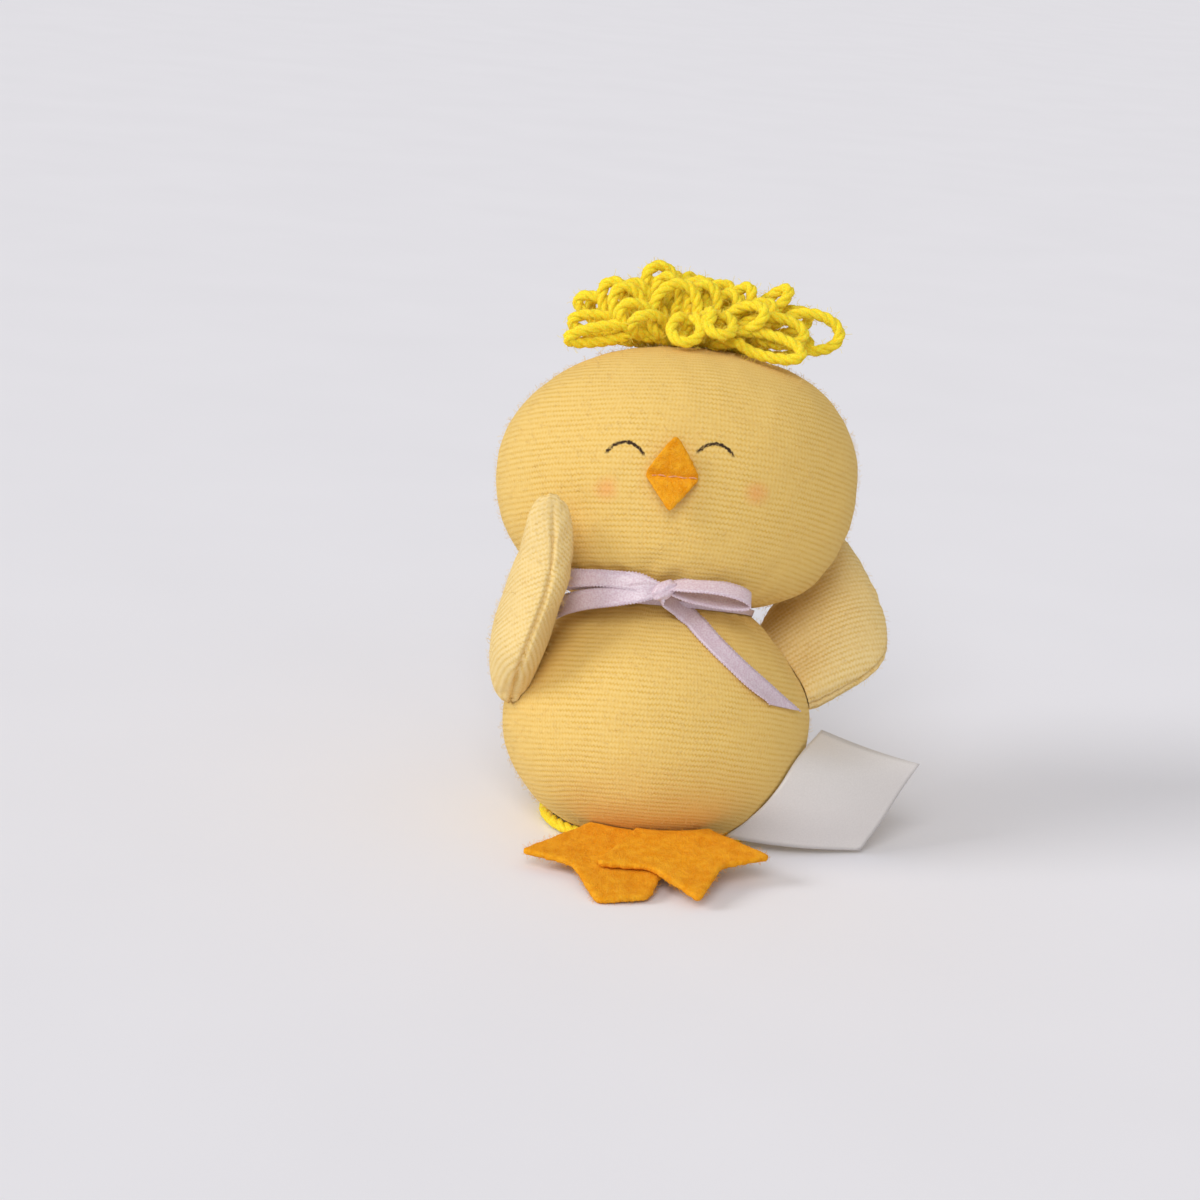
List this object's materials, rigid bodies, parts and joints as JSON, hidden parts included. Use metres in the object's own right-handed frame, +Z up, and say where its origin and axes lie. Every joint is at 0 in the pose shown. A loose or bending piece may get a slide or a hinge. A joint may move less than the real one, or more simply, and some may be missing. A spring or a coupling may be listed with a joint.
{
  "type": "plush chick",
  "caption": "Seated stuffed knit chick with a yarn-loop tuft, felt beak and feet, sewn-on stuffed wings, a satin bow at the neck and a care label.",
  "frame": {"origin": "centre of the flat seat that the chick sits on", "axes": "+Z up, -Y the way the chick faces, +X towards its own left wing"},
  "size_m": [0.0801, 0.0806, 0.0975],
  "materials": {
    "knit": "fine pale yellow jersey knit with a light nap",
    "stuffing": "white fibre stuffing",
    "thread": "matte sewing thread",
    "ribbon": "pale lilac satin ribbon",
    "felt": "orange felt",
    "yarn": "bright yellow plied yarn",
    "label": "white satin, blank"
  },
  "bodies": {
    "body": {"body_cover": "knit", "body_stuffing": "stuffing", "neck_thread": "thread", "neck_ribbon": "ribbon", "tail_yarn": "yarn"},
    "head": {"head_cover": "knit", "head_stuffing": "stuffing", "beak": "felt", "beak_stitch": "thread", "tuft_yarn": "yarn"},
    "wing_left": {"wing_left_cover": "knit", "wing_left_stuffing": "stuffing"},
    "wing_right": {"wing_right_cover": "knit", "wing_right_stuffing": "stuffing"},
    "foot_right": {"foot_right": "felt"},
    "foot_left": {"foot_left": "felt"},
    "label": {"care_label": "label"}
  },
  "joints": [
    {"name": "head_turn", "type": "hinge", "parent": "body", "child": "head", "pos_m": [0, 0.00606, 0.03964], "axis": [0, 0.309, 0.9511], "range_deg": [-20, 20], "stiffness_Nm_per_rad": 0.01},
    {"name": "wing_left_swing", "type": "hinge", "parent": "body", "child": "wing_left", "pos_m": [0.0256, 0.00013, 0.02464], "axis": [0.4893, -0.7589, -0.4298], "range_deg": [-40, 0], "stiffness_Nm_per_rad": 0.003},
    {"name": "wing_right_swing", "type": "hinge", "parent": "body", "child": "wing_right", "pos_m": [-0.0256, -0.00839, 0.02268], "axis": [-0.0104, -0.6526, -0.7576], "range_deg": [0, 75], "stiffness_Nm_per_rad": 0.003},
    {"name": "foot_right_bend", "type": "hinge", "parent": "body", "child": "foot_right", "pos_m": [-0.00496, -0.01403, 0.00449], "axis": [-0.9976, 0.069, 0.0103], "range_deg": [-20, 0], "stiffness_Nm_per_rad": 0.0005},
    {"name": "foot_left_bend", "type": "hinge", "parent": "body", "child": "foot_left", "pos_m": [0.00315, -0.01424, 0.00699], "axis": [-0.9744, -0.2225, -0.0333], "range_deg": [0, 25], "stiffness_Nm_per_rad": 0.0005},
    {"name": "label_swing", "type": "hinge", "parent": "body", "child": "label", "pos_m": [0.0231, -0.0013, 0.01185], "axis": [-0.5716, -0.3078, -0.7606], "range_deg": [0, 40], "stiffness_Nm_per_rad": 0.0002}
  ]
}
